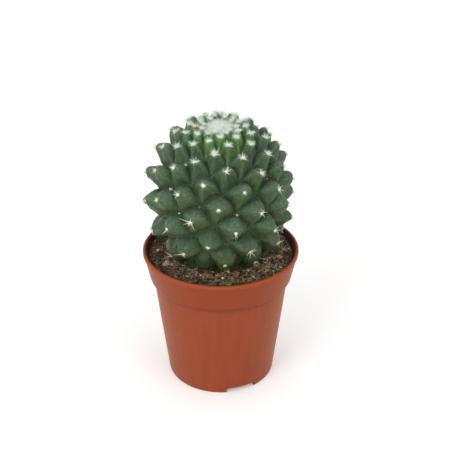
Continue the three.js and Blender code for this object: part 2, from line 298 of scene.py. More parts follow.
# A skin over rings of points, one after another; a ring of one point closes an end.
def skinOver(rings):
    points, faces, start = [], [], 0
    for low, high in zip(rings, rings[1:]):
        sides = max(len(low), len(high))
        above = start + len(low)
        for i in range(sides):
            j = (i + 1) % sides
            corners = [start + i % len(low), start + j % len(low),
                       above + j % len(high), above + i % len(high)]
            face = list(dict.fromkeys(corners))
            if len(face) > 2:
                faces.append(face)
        points += low
        start = above
    return points + rings[-1], faces


# A skin turned from (radius, level) points; a radius of nought is one point.
def revolve(profile, sides):
    return skinOver([[polar(radius, 2 * pi * i / sides, level)
                      for i in range(sides if radius > 0 else 1)] for radius, level in profile])


# Rounds the corners of an open outline; each point is (radius, level, rounding).
def rounded(outline, steps=5):
    made = []
    for i, (x, y, rounding) in enumerate(outline):
        if not rounding:
            made.append((x, y))
            continue
        here = Vector((x, y))
        before = Vector(outline[i - 1][:2])
        after = Vector(outline[i + 1][:2])
        start = here + (before - here).normalized() * min(rounding, (before - here).length / 2.01)
        end = here + (after - here).normalized() * min(rounding, (after - here).length / 2.01)
        for k in range(steps + 1):
            t = k / steps
            made.append(tuple(start * (1 - t) ** 2 + here * 2 * t * (1 - t) + end * t ** 2))
    return made


# Adds points close to the ends of the long stretches, so that smooth shading stays at the corners.
def held(outline, reach=0.12):
    made = [outline[0]]
    for low, high in zip(outline, outline[1:]):
        a, b = Vector(low), Vector(high)
        length = (b - a).length
        if length > 5 * reach:
            made += [tuple(a.lerp(b, reach / length)), tuple(b.lerp(a, reach / length))]
        made.append(high)
    return made


# Materials

# Mottles a colour with fine noise, and gives the same noise as a height.
def mottleGroup():
    inputs = {"Color": "Color", "Scale": "Float", "Amount": "Float"}
    outputs = {"Color": "Color", "Height": "Float"}
    graph, value = nodeGroup("Mottle", "ShaderNodeTree", inputs, outputs)
    place = graph.out("ShaderNodeTexCoord", output="Object")
    height = graph.noise(place, value["Scale"], 5.0)
    shade = height.step(0.3, 0.7) * 2 - 1
    brightness = shade * value["Amount"] + 1
    mottled = graph.vector("SCALE", value["Color"], None, None, brightness)
    graph.add("NodeGroupOutput", {"Color": mottled, "Height": height})
    return graph.tree


mottle = mottleGroup()


class Surface(Graph):
    def __init__(self, name):
        self.material = bpy.data.materials.new(name)
        self.material.use_nodes = True
        super().__init__(self.material.node_tree)
        self.shader = self.tree.nodes["Principled BSDF"]
        self.place = self.out("ShaderNodeTexCoord", output="Object")

    def cloud(self, scale, detail=2.0):
        return self.noise(self.place, scale, detail)

    def attribute(self, name, output="Fac"):
        return self.out("ShaderNodeAttribute", output=output, attribute_name=name)

    # The colour of the last stop, a (value, colour) pair, that the value has passed.
    def pick(self, value, stops):
        node = self.add("ShaderNodeValToRGB", {0: value})
        line = node.color_ramp
        line.interpolation = "CONSTANT"
        for start, color in stops[1:]:
            line.elements.new(start).color = tone(*color)
        line.elements[0].color = tone(*stops[0][1])
        line.elements[-1].color = tone(*stops[-1][1])
        return Term(self, node.outputs[0])

    # Mottles the colour by (scale, amount) and ends the material. The mottle's noise, plus any
    # relief, is a bump of the depth, and spreads the roughness where that is a pair.
    def close(self, color, grain, roughness, depth=None, relief=None, **plain):
        inputs = {"Color": color, "Scale": grain[0], "Amount": grain[1]}
        node = self.add("ShaderNodeGroup", inputs, node_tree=mottle)
        color, height = [Term(self, socket) for socket in node.outputs]
        if isinstance(roughness, tuple):
            roughness = height.between(*roughness)
        values = {**plain, "Base Color": color, "Roughness": roughness}
        if depth:
            inputs = {"Distance": depth * mm, "Height": height + relief if relief else height}
            values["Normal"] = self.out("ShaderNodeBump", inputs)
        for key, value in values.items():
            self.put(self.shader.inputs[key.replace("_", " ")], value)
        return self.material


# Camera, light and floor

view = {"aim": (1.5, 0, 58.3), "distance": 276.3, "elevation": 27.9, "lens": 63.31, "sensor": 36}


def makeCamera():
    data = bpy.data.cameras.new("camera")
    data.lens = view["lens"]
    data.sensor_width = view["sensor"]
    data.clip_start = 0.01
    camera = newPiece("camera", data)
    rise = radians(view["elevation"])
    back = Vector((0, -cos(rise), sin(rise))) * view["distance"]
    camera.location = (Vector(view["aim"]) + back) * mm
    camera.rotation_euler = (pi / 2 - rise, 0, 0)
    bpy.context.scene.camera = camera


# In metres and watts; the lights aim at a point over the middle of the pot.
studio = {
    "worldStrength": 0.85, "floorReach": 12.0, "floorGlow": 0.15, "aimLevel": 0.06,
    "lights": {
        "key_light": {"at": (-0.5, -0.6, 0.46), "size": 0.55, "power": 2.9},
        "fill_light": {"at": (0.62, -0.45, 0.36), "size": 0.6, "power": 1.2},
    },
}


def makeLights():
    for name, values in studio["lights"].items():
        data = bpy.data.lights.new(name, "AREA")
        data.shape = "DISK"
        data.size = values["size"]
        data.energy = values["power"]
        light = newPiece(name, data)
        light.location = values["at"]
        aim = Vector((0, 0, studio["aimLevel"])) - light.location
        light.rotation_euler = aim.to_track_quat("-Z", "Y").to_euler()


def makeStudio():
    world = bpy.data.worlds.new("studio")
    world.use_nodes = True
    graph = Graph(world.node_tree)
    background = graph.tree.nodes["Background"].inputs
    graph.put(background["Color"], (1, 1, 1, 1))
    # The camera sees the backdrop as white as the floor, whatever light it gives.
    seen = graph.out("ShaderNodeLightPath", output="Is Camera Ray")
    graph.put(background["Strength"], seen.between(studio["worldStrength"], 1.0))
    bpy.context.scene.world = world
    bpy.context.scene.view_settings.view_transform = "Standard"
    makeLights()
    points, faces = revolve([(studio["floorReach"], 0), (0, 0)], 64)
    floor = newPiece("floor", meshOf("floor", points, faces))
    floor.data.materials.append(Surface("floor_pale").close(
        (250, 250, 249), (3.0, 0.004), 0.8,
        Emission_Color=(1, 1, 1, 1), Emission_Strength=studio["floorGlow"]))


makeCamera()
makeStudio()
print("stage: camera and studio")


# Pot

pot = {
    "height": 50, "rimRadius": 27.5, "lipWidth": 1.1, "lipHeight": 1.4, "lipStep": 0.3,
    "bandTopRadius": 27.1, "bandFootRadius": 25.2, "bandFootLevel": 39.3,
    "shoulderRadius": 24, "shoulderLevel": 38.5, "shoulderLift": 0.3, "footRadius": 19.6,
    "wall": 0.9, "footRingWidth": 1.3, "footHeight": 2.3, "sides": 192,
    "notches": 3, "notchAngle": 32, "notchStart": -68, "notchHeight": 2, "notchCorner": 0.8,
    "notchReach": (-3.4, 2), "holes": 4, "holeRadius": 2.2, "holeRing": 12, "holeStart": 45,
    "holeDepth": 4.6, "holeSides": 40, "sharpAngle": 40,
}


def potInnerRadius(z):
    outer = [
        (pot["footHeight"], pot["footRadius"]),
        (pot["shoulderLevel"], pot["shoulderRadius"]),
        (pot["bandFootLevel"], pot["bandFootRadius"]),
        (pot["height"] - pot["lipHeight"], pot["bandTopRadius"]),
    ]
    for (z0, r0), (z1, r1) in zip(outer, outer[1:]):
        if z <= z1:
            return r0 + (r1 - r0) * (z - z0) / (z1 - z0) - pot["wall"]
    return pot["rimRadius"] - pot["lipWidth"]


def potOutline():
    floor = pot["footHeight"] + pot["wall"]
    lipFoot = pot["height"] - pot["lipHeight"]
    foot, top, rim = pot["footRadius"], pot["height"], pot["rimRadius"]
    ring, edge = foot - pot["footRingWidth"], rim - pot["lipWidth"]
    inside = [(potInnerRadius(z), z, 0.6) for z in
              (lipFoot, pot["bandFootLevel"], pot["shoulderLevel"], floor)]
    return rounded([
        (0, pot["footHeight"], 0),
        (ring, pot["footHeight"], 0.4),
        (ring, 0, 0.3),
        (foot, 0, 0.45),
        ((foot + pot["shoulderRadius"]) / 2, pot["shoulderLevel"] / 2, 0),
        (pot["shoulderRadius"], pot["shoulderLevel"] + pot["shoulderLift"], 0.5),
        (pot["bandFootRadius"], pot["bandFootLevel"], 0.8),
        (pot["bandTopRadius"], lipFoot - pot["lipStep"], 0.3),
        (rim, lipFoot, 0.25),
        (rim, top, 0.5),
        (edge, top, 0.45),
        *inside,
        (0, floor, 0),
    ])


# A block with rounded upper corners through the foot ring.
def notchCutter(index):
    half = pot["footRadius"] * sin(radians(pot["notchAngle"] / 2))
    top, corner = pot["notchHeight"], pot["notchCorner"]
    outline = rounded([(-half, -top, 0), (-half, top, corner), (half, top, corner),
                       (half, -top, 0)])
    turn = Matrix.Rotation(radians(pot["notchStart"] + 360 / pot["notches"] * index), 3, "Z")
    ends = [[turn @ Vector((x, y, z)) for y, z in outline]
            for x in (pot["footRadius"] + reach for reach in pot["notchReach"])]
    points, faces = skinOver(ends)
    count = len(outline)
    return points, [list(range(count)), list(range(2 * count - 1, count - 1, -1))] + faces


def drainCutter(index):
    radius, depth = pot["holeRadius"], pot["holeDepth"]
    profile = [(0, 0), (radius, 0), (radius, depth), (0, depth)]
    points, faces = revolve(profile, pot["holeSides"])
    angle = radians(pot["holeStart"] + 360 / pot["holes"] * index)
    return [point + polar(pot["holeRing"], angle, 0) for point in points], faces


# The step tone is a painted shadow under the band, the underside tone painted shade and the lip
# tone a painted highlight.
potTones = {
    "wall": (137, 64, 40), "streak": (142, 68, 43), "band": (141, 64, 39),
    "step": (96, 42, 24), "undersideShade": (92, 36, 18), "lip": (158, 74, 42),
    "cloud": (120, 53, 30), "inside": (96, 42, 27), "dust": (66, 60, 56),
}

# Levels between which a tone comes in.
potFades = {
    "band": (38.6, 39.4), "bandShadowTop": (39.2, 38.6), "bandShadowFoot": (36.5, 38.4),
    "undersideShade": (37, 38), "lip": (48.7, 49.9), "dust": (49.6, 48),
}


# Tapered smooth plastic: the outside is terracotta with faint upright streaks, the inside darker.
# Painted shadow under the band, painted shade where the outside faces down and a painted highlight
# on the lip.
def potMaterial():
    surface = Surface("pot_terracotta_plastic")
    x, y, z = surface.place.split()
    fade = {key: z.step(*metres(levels)) for key, levels in potFades.items()}
    streaks = surface.noise(surface.join(x, y, z * 0.06), 420.0, 3.0)
    color = streaks.step(0.3, 0.7).tint(potTones["wall"], potTones["streak"])
    normal = surface.out("ShaderNodeNewGeometry", output="Normal")
    outward = surface.vector("NORMALIZE", surface.join(x, y, 0.0))
    facing = surface.vector("DOT_PRODUCT", outward, normal, output=1)
    color = fade["band"].tint(color, potTones["band"])
    # Painted shadow: a soft dark line under the band.
    color = (fade["bandShadowTop"] * fade["bandShadowFoot"] * 0.3).tint(color, potTones["step"])
    # Painted shade where the outside faces down, under the band and the lip.
    under = normal.split()[2].step(-0.1, -0.4) * fade["undersideShade"]
    color = (under * 0.5).tint(color, potTones["undersideShade"])
    # Painted highlight on the top of the lip.
    color = fade["lip"].tint(color, potTones["lip"])
    outer = (surface.cloud(70.0) * 0.25).tint(color, potTones["cloud"])
    soiled = surface.cloud(160.0, 3.0).step(0.36, 0.6) * fade["dust"]
    inner = (soiled * 0.8).tint(potTones["inside"], potTones["dust"])
    scratches = surface.noise(surface.join(x, y, z * 0.1), 2600.0, 4.0)
    return surface.close(
        facing.step(-0.3, -0.1).tint(inner, outer), (2600.0, 0.025),
        scratches.step(0.35, 0.75).between(0.38, 0.52), 0.04, streaks * 0.3,
        Specular_IOR_Level=0.08, Specular_Tint=(1, 0.8, 0.6, 1),
        Sheen_Weight=0.14, Sheen_Roughness=0.4, Sheen_Tint=(0.8, 0.7, 0.3, 1))


def makePot():
    piece = solidPiece("pot_shell", *revolve(held(potOutline()), pot["sides"]))
    cutters = [notchCutter(i) for i in range(pot["notches"])]
    cutters += [drainCutter(i) for i in range(pot["holes"])]
    helpers = [solidPiece("cutter", *cutter) for cutter in cutters]
    for helper in helpers:
        modifier = piece.modifiers.new("Cut", "BOOLEAN")
        modifier.object = helper
        modifier.solver = "EXACT"
    applyModifiers(piece)
    for helper in helpers:
        bpy.data.objects.remove(helper)
    piece.data.shade_smooth()
    piece.data.set_sharp_from_angle(angle=radians(pot["sharpAngle"]))
    piece.data.materials.clear()
    piece.data.materials.append(potMaterial())
    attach(piece, "root")
    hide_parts("pot")


makePot()
print("stage: pot")


# Plant: the meridian gives, for each place along it, how many tubercles lie above.

plant = {
    "girthRadius": 25.45, "girthLevel": 68.9, "crownRise": 29, "crownFullness": 2.33,
    "footDrop": 23.5, "skirtRadius": 17.8, "lean": 5.5, "sideLean": 0.2, "leanLevel": 48,
    "offset": (-0.65, 0.55), "stemRadius": 15.2, "stemFoot": 48.3, "footLift": 1.9,
    "rootTip": 43.5, "crownDip": 92.2, "crownSink": 0.05, "steps": 1350, "stepTurn": 0.002,
}

# Tubercles past lastFree are half buried in the plant's foot and bear no wool or spines.
spiral = {
    "first": -9, "lastFree": 104, "end": 118, "goldenAngle": 137.50776, "firstAngle": 155.55,
    "firstReach": 6.83, "grownCell": 108, "growthReach": 23.5,
}

tubercle = {
    "height": 7.4, "youthReach": 6, "lowHeight": 0.16, "lowHeightLevels": (50, 68),
    "lift": 19, "footLift": 4, "fullLiftPitch": -30, "steepestDroop": -24,
    "tipBelowAreole": 0.3, "tipBeyondAreole": 0.35, "youngRaise": 0.4, "grownRaise": 0.2,
    "lowPlumpness": 0.7, "plumpLevels": (66, 58), "lowLevels": (72, 54), "buriedHeight": 0.4,
    "heightSpread": 0.03, "flare": 0.5, "widestFlare": 0.6, "dimple": 0.12, "seed": 3,
}

leanMatrix = (
    Matrix.Scale(mm, 4)
    @ Matrix.Translation((*plant["offset"], plant["leanLevel"]))
    @ Euler((radians(plant["lean"]), radians(plant["sideLean"]), 0)).to_matrix().to_4x4()
    @ Matrix.Translation((0, 0, -plant["leanLevel"]))
)
leanTurn = leanMatrix.to_3x3() * (1 / mm)
leanSlope = tan(radians(plant["lean"]))


def youthOf(reach):
    return exp(-(reach / spiral["growthReach"]) ** 2)


def meridian():
    rows = []
    reach = passed = cell = 0
    for step in range(1, plant["steps"]):
        turn = step * plant["stepTurn"]
        upper = turn < pi / 2
        power = 2 / plant["crownFullness"] if upper else 1
        rise = plant["crownRise"] if upper else -plant["footDrop"]
        r = plant["girthRadius"] * sin(turn) ** power
        if not upper:
            r = max(r, plant["skirtRadius"])
        z = plant["girthLevel"] + rise * abs(cos(turn)) ** power
        pitch = pi / 2
        if rows:
            last = rows[-1]
            pitch = atan2(r - last["r"], last["z"] - z)
            length = hypot(r - last["r"], z - last["z"])
            reach += length
            cell = spiral["grownCell"] * (1 - youthOf(reach))
            passed += pi * (r + last["r"]) * length / max(cell, 0.5)
        rows.append({
            "r": r, "z": z, "pitch": pitch, "reach": reach, "cell": cell, "passed": passed})
    first = next(row["passed"] for row in rows if row["reach"] >= spiral["firstReach"])
    for row in rows:
        row["passed"] -= first
    return rows


meridianRows = meridian()


def onMeridian(order):
    last = len(meridianRows) - 1
    high = bisect_left(meridianRows, order, 1, last, key=lambda row: row["passed"])
    a, b = meridianRows[high - 1], meridianRows[high]
    share = (order - a["passed"]) / (b["passed"] - a["passed"])
    place = {key: lerp(a[key], b[key], share) for key in a}
    share = shareOf(place["pitch"], radians(tubercle["fullLiftPitch"]), 0)
    lift = radians(lerp(tubercle["footLift"], tubercle["lift"], share))
    place["pitch"] = max(place["pitch"] + lift, radians(tubercle["steepestDroop"]))
    return place


# Radius and level of the stem between the tubercles.
def valleyRow(order):
    place = onMeridian(order)
    height = tubercle["height"] * place["reach"] / (place["reach"] + tubercle["youthReach"])
    height *= lerp(tubercle["lowHeight"], 1, shareOf(place["z"], *tubercle["lowHeightLevels"]))
    r = place["r"] - height * cos(place["pitch"])
    narrowest = plant["stemRadius"] if place["z"] < plant["girthLevel"] else 0
    return max(r, narrowest), place["z"] - height * sin(place["pitch"])


def tubercleFrame(order, source):
    place = onMeridian(order)
    angle = radians(spiral["firstAngle"] - spiral["goldenAngle"] * order)
    out = polar(cos(place["pitch"]), angle, sin(place["pitch"]))
    side = Vector((-sin(angle), cos(angle), 0))
    up = out.cross(side)
    size = sqrt(max(place["cell"], 0) / spiral["grownCell"])
    seat = polar(place["r"], angle, place["z"] + min(order, 0) * plant["crownSink"])
    spread = tubercle["heightSpread"] * size * tubercle["height"]
    seat += out * spread * source.uniform(-1, 1) + side * spread * source.uniform(-1, 1)
    r, z = valleyRow(order)
    valley = polar(r, angle, z)
    valley.z = max(valley.z, plant["stemFoot"] - valley.y * leanSlope)
    if order > spiral["lastFree"]:
        seat = valley.lerp(seat, tubercle["buriedHeight"])
    tip = seat - up * tubercle["tipBelowAreole"] * size + out * tubercle["tipBeyondAreole"] * size
    raised = lerp(tubercle["youngRaise"], tubercle["grownRaise"], size)
    outside = min(place["r"] / valley.xy.length - 1, tubercle["widestFlare"])
    return {
        "order": float(order), "angle": angle, "size": size, "raised": raised,
        "age": 1 - youthOf(place["reach"]), "tone": source.random(),
        "low": shareOf(seat.z, *tubercle["lowLevels"]),
        "plump": tubercle["lowPlumpness"] * shareOf(seat.z, *tubercle["plumpLevels"]),
        "seat": seat, "out": out, "side": side, "up": up, "draw": tip - valley, "foot": valley,
        "flare": tubercle["flare"] * outside,
        "dimple": seat + out * tubercle["dimple"] - tip - up * raised,
    }


def tubercleFrames():
    source = random.Random(tubercle["seed"])
    return [tubercleFrame(order, source) for order in range(spiral["first"], spiral["end"])]


frames = tubercleFrames()
freeFrames = [each for each in frames if each["order"] <= spiral["lastFree"]]


# Skin: every tubercle is a grid drawn out from the valleys, in steps of its eighth and thirteenth
# neighbour, so the grids of neighbours meet edge to edge.

skin = {
    "cells": 26, "upperSquareness": 3.0, "lowerSquareness": 4.2, "youngSquareness": 0.4,
    "lowerStart": -0.3, "lowerEnd": 0.85, "edgeSharpness": 14.0,
    "hood": 0.25, "youngHood": 0.7, "hollow": 0.05, "drawnIn": 0.13, "bow": 0.1, "merge": 0.8,
    "dimpleEdge": 0.2, "dimpleFloor": 0.03, "dent": 1.3, "dentScale": 0.13,
    "dentStart": 0.05, "dentEnd": 0.4, "weld": 0.012,
}

# Heights of a tubercle and of its areole's swelling, from the tip at 0 to the edge at 1.
riseCurve = [(0, 1), (0.08, 0.985), (0.3, 0.81), (0.5, 0.6), (0.7, 0.38), (0.86, 0.18), (1, 0)]
swellCurve = [(0, 1), (0.4, 1), (0.64, 1), (0.85, 0.45), (1, 0)]

# Rows of the valley table that the skin reads, by order on the spiral.
table = {"perOrder": 8, "start": -40, "orders": 170}


# For a point of a cell, rho runs from 0 at the tip to 1 at the edge, full is rho as the bulge
# spreads it, and rise is the share of the tubercle's height.
def bulge(graph, value, alpha, beta):
    wide = graph.math("ABSOLUTE", alpha) * 2
    high = graph.math("ABSOLUTE", beta) * 2
    square = graph.math("MAXIMUM", wide, high)
    youth = 1.0 - graph.named("age")
    lower = (alpha + beta) / graph.math("MAXIMUM", square, 0.02)
    lower = lower.step(value["lowerStart"], value["lowerEnd"])
    power = lower.between(value["upperSquareness"], value["lowerSquareness"])
    power = power + youth * value["youngSquareness"]
    soft = ((wide ** power + high ** power) * 0.5) ** (1.0 / power)
    drawnIn = graph.math("MINIMUM", soft * ((1.0 - lower) * value["drawnIn"] + 1.0), 1.0)
    rho = (square ** value["edgeSharpness"]).between(drawnIn, square)
    hood = (1.0 - lower) * value["hood"] + youth * value["youngHood"]
    full = rho ** (hood + graph.named("plump") + 1.0 - lower * value["hollow"])
    gentle = 1.0 - full * full * (3.0 - full * 2.0)
    merged = graph.named("low") * value["merge"]
    return rho, full, merged.between(graph.curve(full, riseCurve), gentle)


# The stem's surface under a point of a cell, from the table.
def valleyPlace(graph, value, alpha, beta, rho):
    bowed = rho * rho * value["bow"]
    alpha, beta = [a - (1.0 - b * b * 4) * bowed for a, b in ((alpha, beta), (beta, alpha))]
    order = graph.named("order") + alpha * 8 + beta * 13
    eighth = radians(1080 - 8 * spiral["goldenAngle"])
    thirteenth = radians(1800 - 13 * spiral["goldenAngle"])
    angle = graph.named("angle") + alpha * eighth + beta * thirteenth
    row = (order - table["start"]) * table["perOrder"]
    low = graph.math("FLOOR", row)
    rows = graph.out("GeometryNodeObjectInfo", {"Object": value["meridian"]}, "Geometry")
    ends = [graph.out("GeometryNodeSampleIndex", {
        "Geometry": rows, "Value": graph.position(), "Index": low + k,
    }, data_type="FLOAT_VECTOR", clamp=True) for k in (0.0, 1.0)]
    radius, unused, level = (row - low).between(*ends).split()
    y = radius * graph.math("SINE", angle)
    level = graph.math("MAXIMUM", level, plant["stemFoot"] - y * leanSlope)
    return graph.join(radius * graph.math("COSINE", angle), y, level)


# Draws the open edges at the crown and the foot together on the plant's axis.
def closeEnds(graph, value, body):
    free = graph.out("FunctionNodeCompare", {
        "A": graph.out("GeometryNodeInputMeshEdgeNeighbors"), "B": 1,
    }, data_type="INT", operation="EQUAL")
    ends = graph.add("GeometryNodeExtrudeMesh", {
        "Mesh": body, "Selection": free, "Offset Scale": 0.0}, mode="EDGES")
    body, top = [Term(graph, ends.outputs[key]) for key in ("Mesh", "Top")]
    upper = graph.math("GREATER_THAN", graph.position().split()[2], plant["girthLevel"])
    axis = graph.join(0.0, 0.0, upper.between(plant["rootTip"], plant["crownDip"]))
    return graph.weld(graph.move(body, "Position", axis, top), value["weld"])


def skinRule():
    graph, value = geometryRule("Tubercle skin", skin, ["meridian"])
    cell = graph.out("GeometryNodeMeshGrid", {
        "Size X": 1.0, "Size Y": 1.0, "Vertices X": value["cells"], "Vertices Y": value["cells"]})
    body = graph.place(value["Geometry"], cell)
    # The place in the cell, from -0.5 to 0.5 towards the eighth and the thirteenth neighbour.
    alpha, beta = graph.position().split()[:2]
    rho, full, rise = bulge(graph, value, alpha, beta)
    valley = valleyPlace(graph, value, alpha, beta, rho)
    drawn = valley + graph.arrow("draw") * rise
    drawn = drawn + (valley - graph.arrow("foot")) * (rise * graph.named("flare"))
    swell = graph.named("raised") * graph.curve(full, swellCurve)
    dimpled = rho.step(value["dimpleEdge"], value["dimpleFloor"])
    drawn = drawn + graph.arrow("up") * swell + graph.arrow("dimple") * dimpled
    dents = (graph.noise(drawn, value["dentScale"], 3.0, 1) - 0.5) * (value["dent"] * 2)
    x, y, z = (drawn + dents * rho.step(value["dentStart"], value["dentEnd"])).split()
    foot = rise * plant["footLift"] + plant["stemFoot"] - y * leanSlope
    place = graph.join(x, y, graph.math("MAXIMUM", z, foot))
    facet = graph.join(alpha + beta, alpha - beta, rho)
    body = graph.store(body, "facet", facet, "FLOAT_VECTOR")
    body = graph.weld(graph.move(body, "Position", place), value["weld"])
    body = graph.out("GeometryNodeTransform", {
        "Geometry": closeEnds(graph, value, body), "Translation": leanMatrix.translation,
        "Rotation": leanMatrix.to_euler(), "Scale": leanMatrix.to_scale()})
    graph.finish(body, value["material"])
    return graph


# Pairs are painted shade for skin that faces down and painted light for skin that faces up.
skinTones = {
    "grown": [(60, 78, 50), (74, 99, 76)], "young": [(66, 116, 54), (98, 150, 90)],
    # The shaded tone is painted shade on middle-aged tubercles.
    "shaded": (43, 70, 46), "own": (66, 76, 48), "stain": (74, 76, 44), "tip": (116, 112, 98),
    "keel": (120, 132, 100), "streak": (102, 134, 92), "scurf": (126, 152, 122),
    # The crease tone is painted shade in the creases.
    "low": (48, 60, 35), "creaseShade": (42, 56, 32),
    # The edge tones are painted bounce light in the gaps between young tubercles.
    "youngGapLight": (108, 154, 90), "grownGapLight": (86, 108, 88),
}


# Waxy green skin: painted light, bluish, where it faces up and painted shade, olive, below;
# fresher on young tubercles, with painted shade on middle-aged ones, a greyish tip, a pale keel
# under each areole, streaks from it, painted shade in the creases, painted bounce light in the
# gaps between young tubercles, fine pale scurf, and darker low on the plant.
def skinMaterial():
    surface = Surface("cactus_skin_green")
    down, across, rho = surface.attribute("facet", "Vector").split()
    age, own, low = [surface.attribute(name) for name in ("age", "tone", "low")]
    facing = surface.out("ShaderNodeNewGeometry", output="Normal").split()[2]
    cloud = surface.cloud(190.0, 3.0) - 0.5
    # Painted light where the skin faces up and painted shade where it faces down.
    lit = (facing + cloud * 0.5).step(-0.25, 0.85)
    young, grown = [lit.tint(*skinTones[key]) for key in ("young", "grown")]
    lower = down.step(0.05, 0.5) * rho.step(0.12, 0.3)
    stain = surface.cloud(520.0, 4.0).step(0.42, 0.7)
    keel = surface.math("ABSOLUTE", across).step(0.035, 0.0)
    keel = keel * down.step(0.04, 0.12) * rho.step(0.98, 0.75)
    ray = surface.vector("NORMALIZE", surface.join(down, across, 0.0)) + own * 9
    streak = surface.noise(ray, 11.0, 3.0).step(0.5, 0.7) * rho.step(0.1, 0.3)
    scurf = surface.cloud(1500.0, 5.0).step(0.53, 0.7) * facing.step(0.0, 0.7)
    # Painted bounce light for the gaps between young tubercles.
    edge = age.step(0.12, 0.34).tint(skinTones["youngGapLight"], skinTones["grownGapLight"])
    color = age.step(0.1, 0.34).tint(young, grown)
    for share, over in (
        # Painted shade on middle-aged tubercles.
        (age.step(0.16, 0.3) * age.step(0.85, 0.45) * 0.45, skinTones["shaded"]),
        (own * 0.35, skinTones["own"]),
        (lower * (stain * 0.4 + 0.08), skinTones["stain"]),
        (down.step(0.02, -0.2) * rho.step(0.75, 0.3) * age.between(0.9, 0.06), skinTones["tip"]),
        (keel * age.between(0.4, 0.1), skinTones["keel"]),
        (streak * age.between(0.36, 0.22), skinTones["streak"]),
        (scurf * low.between(0.3, 0.06), skinTones["scurf"]),
        (low * 0.9, skinTones["low"]),
        # Painted shade in the creases.
        ((rho + cloud * 0.08).step(0.66, 1.0) * 0.3, skinTones["creaseShade"]),
        # Painted bounce light in the gaps between young tubercles.
        (age.step(0.7, 0.25) * rho.step(0.45, 0.9) * 0.7, edge),
    ):
        color = share.tint(color, over)
    return surface.close(
        color, (1100.0, 0.2), stain.between(0.42, 0.62) - low * 0.2, 0.16,
        Specular_IOR_Level=0.3, Specular_Tint=(0.75, 1, 0.75, 1),
        Subsurface_Weight=0.08, Subsurface_Radius=(0.6, 1.0, 0.3), Subsurface_Scale=0.0012)


def makeSkin():
    rows = [valleyRow(table["start"] + i / table["perOrder"])
            for i in range(table["orders"] * table["perOrder"])]
    lines = newPiece("meridian", meshOf("meridian", [(r, 0, z) for r, z in rows]))
    source = pointsOf(
        "cactus_body", frames, "order", "angle", "size", "raised", "age", "tone", "low", "flare",
        "plump", "draw", "foot", "up", "dimple")
    values = {**skin, "meridian": lines}
    piece = grow("cactus_body", source, skinRule(), values, skinMaterial())
    bpy.data.objects.remove(lines)
    faceOutward(piece.data)
    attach(piece, "root")
    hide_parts("cactus")
    print("skin faces", len(piece.data.polygons))


makeSkin()
print("stage: skin")


# Wool and spines

wool = {
    "lump": 0.55, "lumpScale": 1300.0, "fibresPerArea": 24.0, "fibreLength": 1.15,
    "fibreRadius": 0.045, "shortest": 0.35, "stray": 0.8, "seed": 4,
}


# Felts a mesh: its surface is lumped by noise and covered in fine short fibres. On tufts, each
# point bears a dome and the fibres stand up from it; otherwise they follow the mesh's combs.
def feltRule(name, tufts):
    graph, value = geometryRule(name, wool)
    body = value["Geometry"]
    if tufts:
        dome = graph.out("GeometryNodeMeshIcoSphere", {"Radius": 1.0, "Subdivisions": 2})
        body = graph.place(body, dome, graph.towards(graph.arrow("out")), graph.arrow("spread"))
    lumps = graph.noise(graph.position(), value["lumpScale"], 4.0) - 0.5
    normal = graph.out("GeometryNodeInputNormal")
    body = graph.move(body, "Offset", normal * (lumps * value["lump"] * (2 * mm)))
    points, normal = graph.scatter(body, value["fibresPerArea"] * perSquareMetre, value["seed"])
    stray = graph.randomArrow((-1, -1, -1), (1, 1, 1), value["seed"]) * value["stray"]
    way = (normal if tufts else graph.arrow("comb")) + stray
    fibre = graph.out("GeometryNodeMeshCone", {
        "Vertices": 3, "Side Segments": 2, "Radius Top": 0.0,
        "Radius Bottom": value["fibreRadius"] * mm, "Depth": value["fibreLength"] * mm,
    }, fill_type="NONE")
    tall = graph.random(value["shortest"], 1.0, value["seed"]) * graph.named("shag")
    fibres = graph.place(points, fibre, graph.towards(way), graph.join(1.0, 1.0, tall))
    both = graph.add("GeometryNodeJoinGeometry", {0: fibres})
    graph.put(both.inputs[0], body)
    graph.finish(Term(graph, both.outputs[0]), value["material"])
    return graph


woolTones = {
    "areole": [(234, 246, 234), (198, 212, 190)], "crown": [(246, 253, 245), (220, 232, 218)],
    "low": [(222, 212, 164), (196, 180, 130)],
}


# Clean wool with aged patches, both yellower low on the plant.
def woolMaterial(name, tones):
    surface = Surface(name)
    low = surface.attribute("low")
    clean, aged = [low.tint(high, foot) for high, foot in zip(tones, woolTones["low"])]
    patches = surface.cloud(800.0, 4.0).step(0.35, 0.7) * 0.5
    return surface.close(patches.tint(clean, aged), (5200.0, 0.07), (0.85, 1.0), 0.08,
                         Sheen_Weight=0.25, Specular_IOR_Level=0.15)


# Sizes are half widths and heights; axils are the valleys between tubercles, some of them woolly.
areole = {
    "grownWool": (0.5, 0.42), "youngWool": (0.8, 0.4), "growthPower": 1.2, "widest": 4.4,
    "spread": (0.85, 1.15), "ovalness": (0.65, 1.0), "out": 0.1, "inward": 0.55, "lowShrink": 0.3,
    "grownShag": 0.75, "youngShag": 1.6, "bare": (104,),
    "axilFirst": 36, "axilLast": 84, "axilSteps": 10.5, "axilTurns": 4, "axilShare": 0.3,
    "axilWool": 0.32, "axilSpread": (0.5, 1.1), "axilHeight": (0.2, 0.34), "seed": 8,
}


def tuftRow(each, seat, size, shag, low):
    return {"at": leanMatrix @ seat, "spread": Vector(size) * mm,
            "out": (leanMatrix.to_3x3() @ each["out"]).normalized(), "shag": shag, "low": low}


